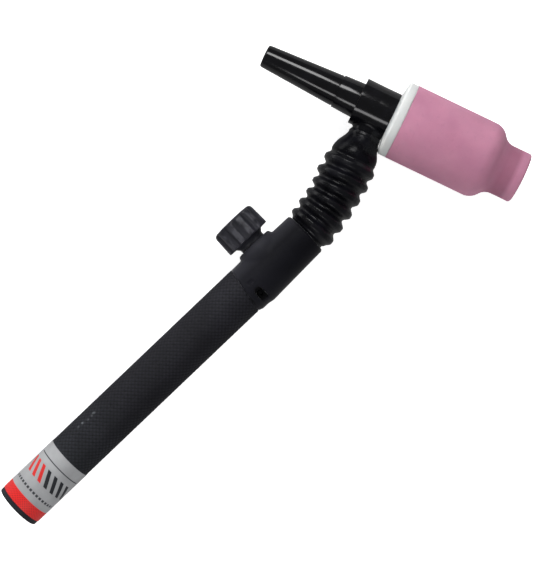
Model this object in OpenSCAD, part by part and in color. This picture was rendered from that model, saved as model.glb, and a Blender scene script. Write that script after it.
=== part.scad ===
// TIG welding torch, air cooled: open knurled handle, gas valve with a side knob,
// bendable ribbed neck, T-shaped head, tapered back cap and a large gas lens nozzle.
// X runs along the handle from its open rear end, Y towards the valve knob, Z up
// as the torch lies on its side. The origin is the centre of the rear opening.

/* [Handle] */
// Length of the handle on its axis, from the rear rim to the seam
handle_len = 111.7; // [105:0.1:130]
// Outside diameter of the handle, also that of the head barrel
handle_od = 17.2; // [17:0.1:18.2]
// Diameter of the open bore that the cable nut lies in
handle_bore = 14.2; // [13.8:0.1:14.3]
// Diameter of the rear seat for the cable cover
entry_bore = 14.9; // [14.5:0.1:15.4]
// Length of the rear seat
entry_len = 40; // [25:1:44]
// Slant of the seam between the handle and the valve housing, in degrees
seam_slant = 9.5; // [0:0.5:11]
// Distance of the label from the rear rim
label_start = 1.9; // [1:0.1:6]
// Width of the label along the handle
label_len = 23.7; // [15:0.1:30]

/* [Valve] */
// Length of the valve housing from the seam to its front rim
housing_len = 30; // [29:0.1:34]
// Diameter of the housing at its rear
housing_od = 18.1; // [17.7:0.1:19]
// Diameter of the housing at its front
housing_front_od = 17.1; // [16.9:0.1:17.7]
// Diameter of the gas valve knob over its ribs, at its base
knob_d = 17.8; // [15:0.1:19]
// Thickness of the knob
knob_h = 8.8; // [7.5:0.1:10]
// Number of finger flutes round the knob
knob_flutes = 12; // [6:1:14]

/* [Neck] */
// Bend of the neck, from the handle's axis to the head stem, in degrees
neck_angle = 20.7; // [8:0.1:28]
// Radius of that bend on the neck's centre line
neck_radius = 70.8; // [60:0.1:90]
// Straight stretch from the end of the bend to the head's centre
stem_reach = 29; // [27:0.1:33]
// Distance from rib to rib
rib_pitch = 5.05; // [4.9:0.05:5.2]
// Number of ribs on the rubber cover
rib_count = 6; // [4:1:6]
// Diameter over the first rib, at the housing
rib_od = 18.2; // [17:0.1:18.5]
// How much wider each next rib is
rib_growth = 0.16; // [0:0.02:0.3]
// Diameter in the valleys between the ribs
valley_od = 15.6; // [15:0.1:16]

/* [Head] */
// Length of the head barrel behind the stem's axis
barrel_back = 7.3; // [6.7:0.1:8]
// Length of the head barrel in front of the stem's axis
barrel_front = 5.9; // [5.8:0.1:8]
// Diameter of the moulded stem between the barrel and the neck cover
stub_od = 11; // [10.6:0.1:11.4]
// Length of the back cap outside the head
cap_len = 36.9; // [30:0.1:60]
// Diameter of the back cap at the head
cap_od = 13; // [12.8:0.1:13.6]
// Diameter of the back cap at its closed end
cap_tip_od = 8.3; // [8:0.1:9.4]

/* [Nozzle and gas lens] */
// Thickness of the white insulator ring
insulator_t = 4; // [3.5:0.1:5]
// Length of the ceramic nozzle
nozzle_len = 46.7; // [45:0.1:52]
// Outside diameter of the nozzle and of the insulator
nozzle_od = 28; // [27.8:0.1:29]
// Outside diameter of the nozzle's mouth
mouth_od = 18.6; // [18:0.1:19.4]
// Bore of the mouth, 12.7 mm on a number 8 nozzle
mouth_bore = 12.7; // [11:0.1:13]
// Diameter of the tungsten electrode
electrode_d = 2.4; // [1.6:0.1:2.4]
// Length of the electrode, cut from a standard 175 mm rod
electrode_len = 76.2; // [60:0.1:78]

/* [Hidden] */
$fn = 96;

// Gaps: between pieces that turn or slide in each other, and between fixed pieces
run_gap = 0.05;
seat_gap = 0.05;
face_gap = 0.1;
soft_gap = 0.3;

handle_r = handle_od / 2;
bore_r = handle_bore / 2;
handle_spigot_r = 7.8;
handle_spigot_len = 7.4;
film_t = 0.1;

// The housing sits a little below the handle's axis and rises to the front, flush with it only on top
housing_y = -0.38;
housing_tilt = 0.7;
housing_r = housing_od / 2;
housing_front_r = housing_front_od / 2;
housing_end = handle_len + housing_len;
housing_middle = handle_len + 14;
housing_taper_start = handle_len + 6;
skirt_r = handle_r + 0.58;
mouth_cavity = 6.4;
mouth_cavity_r = 7.4;
front_round = 1.2;

// Valve block, a brass bar along the handle's axis
block_r = 6.6;
block_rear = handle_len - 7.7;
block_front = housing_end - 6.7;
block_socket_r = 4.05;
block_socket_len = 8;
gas_r = 1.5;
gas_y = -1.5;

// Grub screw through the spigot into the block, and its pocket in the housing's skirt
screw_x = handle_len + 3.5;
screw_lean = 34;
screw_r = 1.5;
screw_foot = block_r + 0.1;
screw_len = 1.9;
screw_hex_af = 1.5;
screw_hex_deep = 1.2;
screw_dimple_r = 0.9;
pocket_len = 3;
pocket_wide = 6.6;
pocket_floor = 8.2;
notch_len = 2.4;
notch_wide = 1.5;
notch_deep = 0.4;

// Valve across the block, its axis along Y
valve_x = handle_len + 13.7;
seat_y = 1.5;
chamber_r = 2.5;
gland_thread_r = 3.5;
gland_y = 5;
gland_top = 9.6;
block_top = 8.6;
block_boss_r = 5;
gland_hex_af = 8;
valve_seat_r = 1;
outlet_y = 2.4;
outlet_r = 1;
boss_r = 7.4;
boss_top = 9.95;
stem_r = chamber_r - run_gap;
knob_base = 12.5;
knob_foot = 10.2;
knob_neck_r = 5;
knob_flare = 1.1;
knob_taper = 0.2;
knob_edge = 1.6;
flute_r = 1.5;
flute_depth = 0.75;
knob_top = knob_base + knob_h;
knob_screw_r = 1.2;
stem_top = knob_base + 5.9;
ring_y = 4.35;
ring_thick = 0.45;
groove_half = 0.5;
stem_end_r = 2;
stem_flat_z = 1.5;
knob_recess_r = 3;
knob_recess = 1.9;
knob_screw_head_r = 2.4;

// Tail nipple inside the handle: 3/8 in thread for the power cable
cable_thread_r = 4.7625;
nipple_rear = 48;
nipple_thread_len = 12;
nipple_tube_r = 3.6;
nipple_hex_len = 6;
nipple_hex_af = 11;
nipple_bore_r = 1.6;

// Neck centre line: an arc out of the housing, then straight up the stem
neck_y = -0.5;
neck_start = housing_end - 3.7;
neck_arc = neck_radius * neck_angle * PI / 180;
first_rib = 6.95;
rib_r = 1.85;
tail_r = 7.1;
tail_end = 4.2;
cover_bore_r = 4.6;
braid_r = 3.4;
braid_bore_r = 2.2;
tube_r = 2.1;
tube_bore_r = 1.5;
ferrule_r = 4.05;
ferrule_bore_r = 3.5;
rear_ferrule_len = 9.4;
rear_ferrule_front = neck_start + 1.5;

// Distances down the stem from the head's centre
stem_brass_end = 13;
stub_end = 20;
front_ferrule_end = 21.5;
cover_top = 10.5;
dome_end = 18;
dome_r = 8.3;
dome_round = 6;
stub_r = stub_od / 2;
stem_brass_r = 3.6;
stem_gas_r = 1.5;

// Head: z runs out of the nozzle, from the stem's axis
body_r = 6.3;
body_back = -4.9;
body_front = barrel_front - 0.1;
cap_thread_r = 4.55;
lens_thread_r = 4.7;
land_back = -0.6;
land_front = 0.7;
land_r = 2.5;
barrel_edge = 0.5;

// Back cap, with its front face just behind the head barrel
cap_front = -barrel_back - face_gap;
cap_back = cap_front - cap_len;
cap_collar_len = 8;
cap_collar_back_r = 6.05;
cap_step = 0.25;
cap_bore_r = 1.65;
cap_end_wall = 2.2;
cap_edge = 0.5;
ferrule_front = -0.9;
ferrule_back = -14;
collet_back = -9;
cap_ring_z = -5.85;
cap_ring_r = 5.4;
cap_ring_thick = 0.8;

// Insulator, gas lens and nozzle
insulator_back = barrel_front + face_gap;
nozzle_back = insulator_back + insulator_t + face_gap;
nozzle_r = nozzle_od / 2;
nozzle_front = nozzle_back + nozzle_len;
lens_r = 11.4;
lens_front = nozzle_back + 19.3;
lens_wall_bore_r = 9.6;
screen_seat_z = nozzle_back + 15.5;
screen_seat_r = 10.3;
screen_r = 10.2;
screen_t = 0.25;
screen_pitch = 0.8;
screen_count = 3;
lens_tube_r = 3.6;
lens_tube_front = nozzle_back + 11.7;
lens_port_z = nozzle_back + 6.6;
lens_port_r = 0.8;
lens_ports = 6;
collet_r = 1.95;
collet_front = lens_tube_front - 2.8;
collet_slit = 0.4;
collet_slit_len = 12;
chamber_wall_r = 11;
chamber_end = nozzle_back + 29.5;
mouth_r = mouth_od / 2;
mouth_bore_r = mouth_bore / 2;
shoulder_r = 6;
hollow_r = 5;
shoulder_z = nozzle_back + 30.5;
lip_r = 1.2;
electrode_tip_z = nozzle_front - 12;
electrode_r = electrode_d / 2;
tip_len = 6;
tip_r = 0.25;

far = 60;

// ---- Helpers ----

// Round bar along X from x0 to x1
module bar_x(x0, x1, r) {
    translate([x0, 0, 0]) rotate([0, 90, 0]) cylinder(r = r, h = x1 - x0);
}

// Round bar along Y at the valve, from y0 to y1
module bar_y(y0, y1, r, r2 = undef) {
    translate([valve_x, y0, 0])
        rotate([-90, 0, 0])
            cylinder(r1 = r, r2 = is_undef(r2) ? r : r2, h = y1 - y0);
}

// Solid turned about the valve's axis from [radius, y] points
module turned_y(points) {
    translate([valve_x, 0, 0]) rotate([-90, 0, 0]) rotate_extrude() polygon(points);
}

// Solid turned about the X axis from [radius, x] points
module turned_x(points) {
    rotate([0, 90, 0]) rotate_extrude() polygon(points);
}

// Round bar along Z from z0 to z1
module bar_z(z0, z1, r) {
    translate([0, 0, z0]) cylinder(r = r, h = z1 - z0);
}

// Hexagon of that width across its flats, as a 2D outline
module hexagon(across_flats) {
    circle(r = across_flats / sqrt(3), $fn = 6);
}

// Points of an arc, every step degrees from a0 to a1
function arc(cx, cy, r, a0, a1, steps = 8) =
    [for (i = [0:steps]) let (a = a0 + (a1 - a0) * i / steps) [cx + r * cos(a), cy + r * sin(a)]];

// Direction and place of the neck's centre line at a distance from its start
function neck_turn(s) = min(s / neck_arc, 1) * neck_angle;
function neck_place(s) =
    let (a = neck_turn(s), run = max(s - neck_arc, 0))
    [
        neck_start + neck_radius * sin(a) + run * cos(a),
        neck_y + neck_radius * (1 - cos(a)) + run * sin(a),
        0,
    ];

head_place = neck_place(neck_arc + stem_reach);

// Distance along the neck of a point that far down the stem from the head
function stem_at(down) = neck_arc + stem_reach - down;

// Children move to a place on the neck, with their X axis along it
module on_neck(s) {
    translate(neck_place(s)) rotate([0, 0, neck_turn(s)]) children();
}

// Bar of radius r that follows the neck from s0 to s1, round the arc and up the stem
module neck_bar(s0, s1, r) {
    arc_to = min(s1, neck_arc);
    sweep = neck_turn(arc_to) - neck_turn(s0);
    on_neck(arc_to) {
        translate([0, neck_radius, 0])
            rotate_extrude(angle = -sweep, start = -90)
                translate([neck_radius, 0])
                    circle(r = r);
        if (s1 > neck_arc)
            bar_x(0, s1 - neck_arc, r);
    }
}

// Children move to the head: Z out of the nozzle, X on from the stem, Y up
module at_head() {
    translate(head_place) rotate([90, 0, neck_angle]) children();
}

// Round bar along the stem, between two distances from the head's centre
module stem_bar(near, out, r) {
    translate([-out, 0, 0]) rotate([0, 90, 0]) cylinder(r = r, h = out - near);
}

// Half space in front of the slanted seam, shifted forwards by gap
module before_seam(gap) {
    translate([handle_len + gap, 0, 0])
        rotate([0, 0, -seam_slant])
            translate([0, -far / 2, -far / 2])
                cube([far, far, far]);
}

// ---- Handle ----

module handle() {
    color("#26262a")
    difference() {
        union() {
            difference() {
                bar_x(0, handle_len + far / 2, handle_r);
                before_seam(-face_gap);
            }
            bar_x(handle_len - 10, handle_len + handle_spigot_len, handle_spigot_r);
        }
        bar_x(-1, entry_len, entry_bore / 2);
        bar_x(entry_len - 1, handle_len + far, bore_r);
        screw_axis() bar_z(0, far, screw_r + seat_gap);
    }
}

module handle_label() {
    color("#b9babc")
    difference() {
        bar_x(label_start, label_start + label_len, handle_r + seat_gap / 2 + film_t);
        bar_x(label_start - 1, label_start + label_len + 1, handle_r + seat_gap / 2);
    }
}

// Axis of the grub screw: Z out of the part, leaning away from the knob
module screw_axis() {
    translate([screw_x, 0, 0]) rotate([screw_lean, 0, 0]) children();
}

module handle_screw() {
    color("#1c1c1e")
    screw_axis()
        difference() {
            bar_z(screw_foot, screw_foot + screw_len, screw_r);
            translate([0, 0, screw_foot + screw_len - screw_hex_deep])
                linear_extrude(screw_len)
                    hexagon(screw_hex_af);
        }
}

// ---- Valve housing and what it holds ----

module valve_housing() {
    color("#222226")
    difference() {
        union() {
            intersection() {
                housing_shell();
                before_seam(0);
                // Chamfered rear rim, a slightly lower skirt, then a step to the full size
                turned_x([
                    [0, handle_len - 5], [handle_r - 1.4, handle_len - 5],
                    [skirt_r - 0.05, handle_len + 0.4], [skirt_r, handle_len + 3.4],
                    [skirt_r + 0.5, handle_len + 5.6], [far / 2, handle_len + 5.6],
                    [far / 2, housing_end + 1], [0, housing_end + 1],
                ]);
            }
            turned_y([
                [0, 1], [boss_r + 0.6, 1], [boss_r + 0.6, boss_top - 2.3], [boss_r, boss_top - 1],
                [boss_r - 0.2, boss_top - 0.5], [boss_r - 0.6, boss_top], [0, boss_top],
            ]);
        }
        bar_x(handle_len - far / 4, handle_len + handle_spigot_len + 0.4, handle_spigot_r + seat_gap);
        bar_x(handle_len, housing_end - mouth_cavity + 1, block_r + seat_gap);
        translate([0, neck_y, 0]) bar_x(housing_end - mouth_cavity, housing_end + 1, mouth_cavity_r);
        bar_y(0, boss_top + 1, block_boss_r + seat_gap);
        screw_axis() {
            bar_z(0, far, screw_r + seat_gap);
            translate([0, 0, pocket_floor]) linear_extrude(far) pocket_outline();
        }
        // Short index notch beside the pocket
        translate([screw_x - notch_len / 2, 0, housing_r - notch_deep])
            cube([notch_len, notch_wide, 2]);
    }
}

// The turned outside of the housing, before its rear is trimmed
module housing_shell() {
    translate([housing_middle, housing_y, 0])
        rotate([0, 0, housing_tilt])
            translate([-housing_middle, 0, 0])
                turned_x(concat(
                    [[0, handle_len - far / 4], [housing_r, handle_len - far / 4]],
                    [[housing_r, housing_taper_start]],
                    arc(housing_front_r - front_round, housing_end - front_round, front_round, 0, 90),
                    [[0, housing_end]]
                ));
}

// Rounded slot, longer round the housing than along it
module pocket_outline() {
    end = (pocket_wide - pocket_len) / 2;
    for (side = [-1, 1])
        translate([0, side * end]) circle(d = pocket_len);
    square([pocket_len, 2 * end], center = true);
}

module valve_block() {
    color("#b8923c")
    difference() {
        union() {
            bar_x(block_rear, block_front, block_r);
            bar_y(0, block_top, block_boss_r);
        }
        // Socket and passage from the tail nipple
        bar_x(block_rear - 1, block_rear + block_socket_len, block_socket_r);
        translate([0, gas_y, 0]) bar_x(block_rear + block_socket_len - 1, valve_x + 1.2, gas_r);
        // Valve seat, chamber and gland thread
        bar_y(gas_y, seat_y + 0.1, valve_seat_r);
        bar_y(seat_y, gland_y + 0.1, chamber_r);
        bar_y(gland_y, block_top + 1, gland_thread_r);
        // Outlet to the neck socket
        translate([0, outlet_y, 0]) bar_x(valve_x, neck_start - 6.8, outlet_r);
        translate([0, neck_y, 0])
            bar_x(rear_ferrule_front - rear_ferrule_len - 1, block_front + 1, ferrule_r + seat_gap);
        screw_axis() bar_z(screw_foot - 0.6, far, screw_dimple_r);
    }
}

module tail_nipple() {
    hex_start = block_rear - face_gap - nipple_hex_len;
    color("#b8923c")
    difference() {
        union() {
            bar_x(nipple_rear, nipple_rear + nipple_thread_len, cable_thread_r);
            bar_x(nipple_rear + 1, block_rear + block_socket_len - 1, nipple_tube_r);
            translate([hex_start, 0, 0])
                rotate([0, 90, 0])
                    linear_extrude(nipple_hex_len) hexagon(nipple_hex_af);
            bar_x(block_rear - 1, block_rear + block_socket_len - 1, block_socket_r - seat_gap);
        }
        bar_x(nipple_rear - 1, block_rear + block_socket_len, nipple_bore_r);
    }
}

module gland_nut() {
    color("#b8923c")
    difference() {
        union() {
            bar_y(gland_y, block_top + 0.2, gland_thread_r - seat_gap);
            translate([valve_x, block_top + face_gap, 0])
                rotate([-90, 0, 0])
                    linear_extrude(gland_top - block_top - face_gap) hexagon(gland_hex_af);
        }
        bar_y(gland_y - 1, gland_top + 1, chamber_r);
    }
}

module neck_rear_ferrule() {
    color("#b8923c")
    translate([0, neck_y, 0])
        difference() {
            bar_x(rear_ferrule_front - rear_ferrule_len, rear_ferrule_front, ferrule_r);
            bar_x(rear_ferrule_front - 6.5, rear_ferrule_front + 1, ferrule_bore_r);
            bar_x(rear_ferrule_front - rear_ferrule_len - 1, rear_ferrule_front, braid_bore_r);
        }
}

// ---- Valve stem and knob ----

module valve_o_ring() {
    color("#101012")
    translate([valve_x, ring_y, 0])
        rotate([90, 0, 0])
            rotate_extrude()
                translate([stem_r - ring_thick - 0.02, 0])
                    circle(r = ring_thick, $fn = 32);
}

module valve_stem() {
    groove_r = stem_r - 2 * ring_thick - 0.05;
    color("#c9a24a")
    difference() {
        turned_y([
            [0, 0.5], [0.2, 0.5], [1.2, 1.9], [1.2, 2.2], [stem_r, 3.2],
            [stem_r, ring_y - groove_half], [groove_r, ring_y - groove_half],
            [groove_r, ring_y + groove_half], [stem_r, ring_y + groove_half],
            [stem_r, gland_top + 0.1], [stem_end_r, gland_top + 0.1],
            [stem_end_r, stem_top], [0, stem_top],
        ]);
        bar_y(stem_top - 5, stem_top + 1, knob_screw_r + seat_gap);
        stem_flat(0);
    }
}

// What the stem's flat leaves out, from that much above the flat
module stem_flat(gap) {
    translate([valve_x - 3, gland_top + 2, stem_flat_z + gap]) cube([6, 20, 3]);
}

module valve_knob() {
    color("#29292d")
    difference() {
        turned_y(concat(
            [[0, knob_foot], [knob_neck_r, knob_foot], [knob_neck_r, knob_base - 1.3]],
            [[knob_neck_r + knob_flare, knob_base], [knob_d / 2, knob_base]],
            arc(knob_d / 2 - knob_taper - knob_edge, knob_top - knob_edge, knob_edge, 0, 90),
            [[0, knob_top]]
        ));
        for (i = [0:knob_flutes - 1])
            translate([valve_x, 0, 0])
                rotate([0, i * 360 / knob_flutes, 0])
                    translate([knob_d / 2 + flute_r - flute_depth, knob_base - 1, 0])
                        rotate([-90, 0, 0])
                            cylinder(r = flute_r, h = knob_h + 2, $fn = 32);
        // Bore for the stem, with the flat left in it, and the screw's recess
        difference() {
            bar_y(knob_foot - 1, stem_top + 0.2, stem_end_r + seat_gap);
            stem_flat(seat_gap);
        }
        bar_y(stem_top, knob_top + 1, knob_screw_r + 0.2);
        bar_y(knob_top - knob_recess, knob_top + 1, knob_recess_r);
    }
}

module knob_screw() {
    head_base = knob_top - knob_recess + seat_gap;
    color("#8a8d92")
    difference() {
        union() {
            bar_y(stem_top - 4, head_base + 0.5, knob_screw_r);
            turned_y([
                [0, head_base], [knob_screw_head_r, head_base], [knob_screw_head_r, head_base + 0.8],
                [knob_screw_head_r - 0.5, head_base + 1.3], [0, head_base + 1.3],
            ]);
        }
        translate([valve_x - 3, head_base + 0.7, -0.3]) cube([6, 2, 0.6]);
    }
}

// ---- Neck ----

module neck_gas_tube() {
    from = -3;
    to = stem_at(15.3);
    color("#e4ded0")
    difference() {
        neck_bar(from, to, tube_r);
        neck_bar(from - 1, to + 1, tube_bore_r);
    }
}

module neck_braid() {
    from = -2;
    to = stem_at(16);
    color("#b5683c")
    difference() {
        neck_bar(from, to, braid_r);
        neck_bar(from - 1, to + 1, braid_bore_r);
    }
}

// Ribbed rubber cover: a plain tail in the housing, the ribs, then a domed top
module neck_cover() {
    valley_r = valley_od / 2;
    dome = stem_at(dome_end) - neck_arc;
    lip = stem_at(cover_top) - neck_arc;
    color("#1b1b1e")
    difference() {
        union() {
            neck_bar(-2, tail_end + 0.2, tail_r);
            neck_bar(tail_end, neck_arc + 0.2, valley_r);
            on_neck(neck_arc) turned_x(concat(
                [[0, 0], [valley_r, 0], [valley_r, dome - 2]],
                arc(dome_r - dome_round, dome, dome_round, 0, 42, 4),
                [[stub_r + 2 * soft_gap, lip], [0, lip]]
            ));
            for (i = [0:rib_count - 1])
                on_neck(first_rib + i * rib_pitch)
                    rotate([0, 90, 0])
                        rotate_extrude()
                            translate([rib_od / 2 + i * rib_growth / 2 - rib_r, 0])
                                circle(r = rib_r, $fn = 32);
        }
        neck_bar(-3, stem_at(stub_end + 0.5), cover_bore_r);
        on_neck(stem_at(stub_end + 0.6)) bar_x(0, stub_end, stub_r + soft_gap);
    }
}

module neck_front_ferrule() {
    color("#b8923c")
    at_head()
        difference() {
            stem_bar(stem_brass_end + face_gap, front_ferrule_end, ferrule_r);
            stem_bar(stem_brass_end + 2.6, front_ferrule_end + 1, ferrule_bore_r);
            stem_bar(stem_brass_end - 1, front_ferrule_end, braid_bore_r);
        }
}

// ---- Head ----

module head_body() {
    color("#b8923c")
    at_head()
        difference() {
            union() {
                bar_z(body_back, body_front, body_r);
                stem_bar(4, stem_brass_end, stem_brass_r);
            }
            bar_z(body_back - 1, land_back, cap_thread_r);
            bar_z(land_front, body_front + 1, lens_thread_r);
            bar_z(land_back - 1, land_front + 1, land_r);
            stem_bar(0, stem_brass_end + 1, stem_gas_r);
        }
}

module head_jacket() {
    color("#18181a")
    at_head()
        difference() {
            union() {
                rotate_extrude() polygon([
                    [0, -barrel_back], [handle_r - barrel_edge, -barrel_back],
                    [handle_r, -barrel_back + barrel_edge],
                    [handle_r, barrel_front], [0, barrel_front],
                ]);
                stem_bar(4, stub_end, stub_r);
            }
            bar_z(-barrel_back - 1, barrel_front + 1, body_r + seat_gap);
            stem_bar(4, stem_brass_end + face_gap, stem_brass_r + seat_gap);
            stem_bar(stem_brass_end, stub_end + 1, ferrule_r + seat_gap);
        }
}

module insulator() {
    color("#e8ece9")
    at_head()
        difference() {
            rotate_extrude() polygon([
                [0, insulator_back], [handle_r, insulator_back],
                [nozzle_r - 0.8, insulator_back + 0.7], [nozzle_r - 0.1, insulator_back + 1.3],
                [nozzle_r - 0.1, insulator_back + insulator_t], [0, insulator_back + insulator_t],
            ]);
            bar_z(0, nozzle_back + 1, lens_thread_r + seat_gap);
        }
}

// ---- Gas lens, collet and electrode ----

module gas_lens_body() {
    color("#c08a4a")
    at_head()
        difference() {
            rotate_extrude() polygon([
                [2.2, land_front + 0.2], [lens_thread_r - seat_gap, land_front + 0.2],
                [lens_thread_r - seat_gap, nozzle_back], [lens_r, nozzle_back],
                [lens_r, lens_front], [screen_seat_r, lens_front],
                [screen_seat_r, screen_seat_z], [lens_wall_bore_r, screen_seat_z],
                [lens_wall_bore_r, nozzle_back + 5], [lens_tube_r, nozzle_back + 3],
                [lens_tube_r, lens_tube_front], [electrode_r + 0.1, lens_tube_front],
                [electrode_r + 0.1, lens_tube_front - 1.6], [2.2, lens_tube_front - 3],
            ]);
            for (i = [0:lens_ports - 1])
                rotate([0, 0, i * 360 / lens_ports])
                    translate([1, 0, lens_port_z])
                        rotate([0, 90, 0])
                            cylinder(r = lens_port_r, h = lens_tube_r, $fn = 32);
        }
}

module gas_lens_screens() {
    color("#c8c8c4")
    at_head()
        for (i = [0:screen_count - 1])
            translate([0, 0, screen_seat_z + 0.1 + i * screen_pitch])
                difference() {
                    cylinder(r = screen_r, h = screen_t);
                    translate([0, 0, -1]) cylinder(r = electrode_r + 0.15, h = 3);
                }
}

module screen_ring() {
    from = screen_seat_z + 0.2 + (screen_count - 1) * screen_pitch + screen_t;
    color("#b0b0ac")
    at_head()
        difference() {
            bar_z(from, from + 0.9, screen_r);
            bar_z(from - 1, from + 2, screen_r - 0.9);
        }
}

module collet() {
    color("#b8703e")
    at_head()
        difference() {
            rotate_extrude() polygon([
                [electrode_r + run_gap, collet_back], [collet_r, collet_back],
                [collet_r, collet_front - 0.8], [electrode_r + 0.35, collet_front],
                [electrode_r + run_gap, collet_front],
            ]);
            for (turn = [0, 90])
                rotate([0, 0, turn])
                    translate([-5, -collet_slit / 2, collet_front - collet_slit_len])
                        cube([10, collet_slit, collet_slit_len + 1]);
        }
}

module electrode() {
    color("#8d9094")
    at_head()
        rotate_extrude() polygon([
            [0, electrode_tip_z - electrode_len], [electrode_r, electrode_tip_z - electrode_len],
            [electrode_r, electrode_tip_z - tip_len], [tip_r, electrode_tip_z], [0, electrode_tip_z],
        ]);
}

// ---- Back cap ----

module back_cap() {
    tip_r = cap_tip_od / 2;
    collar_back = cap_front - cap_collar_len;
    color("#19191b")
    at_head()
        difference() {
            rotate_extrude() polygon(concat(
                [[0, cap_front], [cap_od / 2, cap_front]],
                [[cap_collar_back_r, collar_back], [cap_collar_back_r - cap_step, collar_back - cap_step]],
                arc(tip_r - cap_edge, cap_back + cap_edge, cap_edge, 0, -90, 4),
                [[0, cap_back]]
            ));
            bar_z(ferrule_back - seat_gap, 0, cap_thread_r - run_gap + seat_gap);
            bar_z(cap_back + cap_end_wall, 0, cap_bore_r);
        }
}

module back_cap_ferrule() {
    color("#b8923c")
    at_head()
        difference() {
            bar_z(ferrule_back, ferrule_front, cap_thread_r - run_gap);
            bar_z(collet_back - face_gap, 0, collet_r + 0.15);
            bar_z(ferrule_back - 1, 0, cap_bore_r);
        }
}

module back_cap_o_ring() {
    color("#101012")
    at_head()
        translate([0, 0, cap_ring_z])
            rotate_extrude()
                translate([cap_ring_r, 0])
                    circle(r = cap_ring_thick, $fn = 32);
}

// ---- Nozzle ----

// Long straight cup, a round shoulder that hollows into the narrow mouth
module nozzle() {
    reach = mouth_r + hollow_r - nozzle_r + shoulder_r;
    hollow_z = shoulder_z + sqrt(pow(shoulder_r + hollow_r, 2) - pow(reach, 2));
    meet = atan2(hollow_z - shoulder_z, reach);
    color("#bf8098")
    at_head()
        rotate_extrude() polygon(concat(
            [[lens_r + run_gap, nozzle_back], [nozzle_r, nozzle_back]],
            arc(nozzle_r - shoulder_r, shoulder_z, shoulder_r, 0, meet, 6),
            arc(mouth_r + hollow_r, hollow_z, hollow_r, 180 + meet * 0.85, 180, 5),
            arc(mouth_r - lip_r, nozzle_front - lip_r, lip_r, 0, 90, 4),
            [[mouth_bore_r, nozzle_front]],
            [[mouth_bore_r, chamber_end + 8], [chamber_wall_r, chamber_end]],
            [[chamber_wall_r, lens_front + 1.2], [lens_r + run_gap, lens_front + 0.4]]
        ));
}

handle();
handle_label();
handle_screw();
valve_housing();
valve_block();
tail_nipple();
gland_nut();
neck_rear_ferrule();
valve_o_ring();
valve_stem();
valve_knob();
knob_screw();
neck_gas_tube();
neck_braid();
neck_cover();
neck_front_ferrule();
head_body();
head_jacket();
insulator();
gas_lens_body();
gas_lens_screens();
screen_ring();
collet();
electrode();
back_cap();
back_cap_ferrule();
back_cap_o_ring();
nozzle();
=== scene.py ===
"""Visual model of an air-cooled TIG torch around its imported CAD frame."""
import math

import bmesh
import bpy
from mathutils import Matrix, Vector


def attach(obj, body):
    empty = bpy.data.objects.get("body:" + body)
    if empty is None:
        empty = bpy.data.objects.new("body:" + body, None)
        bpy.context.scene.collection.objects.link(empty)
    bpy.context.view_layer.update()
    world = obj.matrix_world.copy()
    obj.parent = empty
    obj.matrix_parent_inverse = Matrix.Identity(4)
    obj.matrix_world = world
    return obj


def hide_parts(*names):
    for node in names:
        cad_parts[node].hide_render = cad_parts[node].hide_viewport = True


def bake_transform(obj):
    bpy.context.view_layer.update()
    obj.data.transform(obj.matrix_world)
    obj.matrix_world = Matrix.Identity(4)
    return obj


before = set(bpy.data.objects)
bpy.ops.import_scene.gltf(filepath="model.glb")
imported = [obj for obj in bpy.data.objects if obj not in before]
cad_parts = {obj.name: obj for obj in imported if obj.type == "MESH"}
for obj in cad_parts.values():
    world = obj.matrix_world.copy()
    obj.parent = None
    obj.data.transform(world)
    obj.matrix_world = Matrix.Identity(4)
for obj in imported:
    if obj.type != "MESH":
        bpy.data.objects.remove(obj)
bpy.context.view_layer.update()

MM = 0.001
TAU = 2 * math.pi

# ---- Sizes in millimetres, the same as in the part's source ----
HANDLE_LEN = 111.7
HANDLE_R = 8.6
HANDLE_BORE = 7.1
ENTRY_R = 7.45
ENTRY_LEN = 40.0
KNURL_TOP = HANDLE_R + 0.03
KNURL_DEPTH = 0.22
SEAM_SLANT = 9.5
LABEL_START = 1.9
LABEL_LEN = 23.7
VALVE_X = 125.4
KNOB_BASE = 12.5
KNOB_TOP = 21.3
KNOB_R = 8.9
NECK_START = 138.0
NECK_Y = -0.5
NECK_ANGLE = math.radians(20.7)
NECK_RADIUS = 70.8
NECK_ARC = NECK_RADIUS * NECK_ANGLE
STEM_REACH = 29.0
NECK_LEN = NECK_ARC + STEM_REACH
BARREL_R = 8.55
STEM_R = 5.12
FIRST_RIB = 6.95
RIB_PITCH = 5.05
NOZZLE_BACK = 10.1
NOZZLE_FRONT = 56.8
SCREEN_Z = 25.7


# ---- Places: each gives the matrix from a piece's own axes to the torch's ----
def axes(x, y, z, origin):
    """Matrix whose columns are the three directions and the origin."""
    return Matrix((
        (x[0], y[0], z[0], origin[0]),
        (x[1], y[1], z[1], origin[1]),
        (x[2], y[2], z[2], origin[2]),
        (0, 0, 0, 1),
    ))


def neck_frame(s):
    """Point and heading of the neck's centre line, s mm from its start."""
    turn = min(s / NECK_ARC, 1) * NECK_ANGLE
    run = max(s - NECK_ARC, 0)
    x = NECK_START + NECK_RADIUS * math.sin(turn) + run * math.cos(turn)
    y = NECK_Y + NECK_RADIUS * (1 - math.cos(turn)) + run * math.sin(turn)
    return Vector((x, y, 0)), turn


HEAD_AT, HEAD_TURN = neck_frame(NECK_LEN)
CUP_WAY = (math.sin(HEAD_TURN), -math.cos(HEAD_TURN), 0)
STEM_WAY = (math.cos(HEAD_TURN), math.sin(HEAD_TURN), 0)

ALONG_HANDLE = axes((0, 0, 1), (0, -1, 0), (1, 0, 0), (0, 0, 0))
ON_VALVE = axes((1, 0, 0), (0, 0, -1), (0, 1, 0), (VALVE_X, 0, 0))
IN_HEAD = axes(STEM_WAY, (0, 0, 1), CUP_WAY, HEAD_AT)
DOWN_STEM = axes((0, 0, 1), CUP_WAY, (-STEM_WAY[0], -STEM_WAY[1], 0), HEAD_AT)


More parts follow.
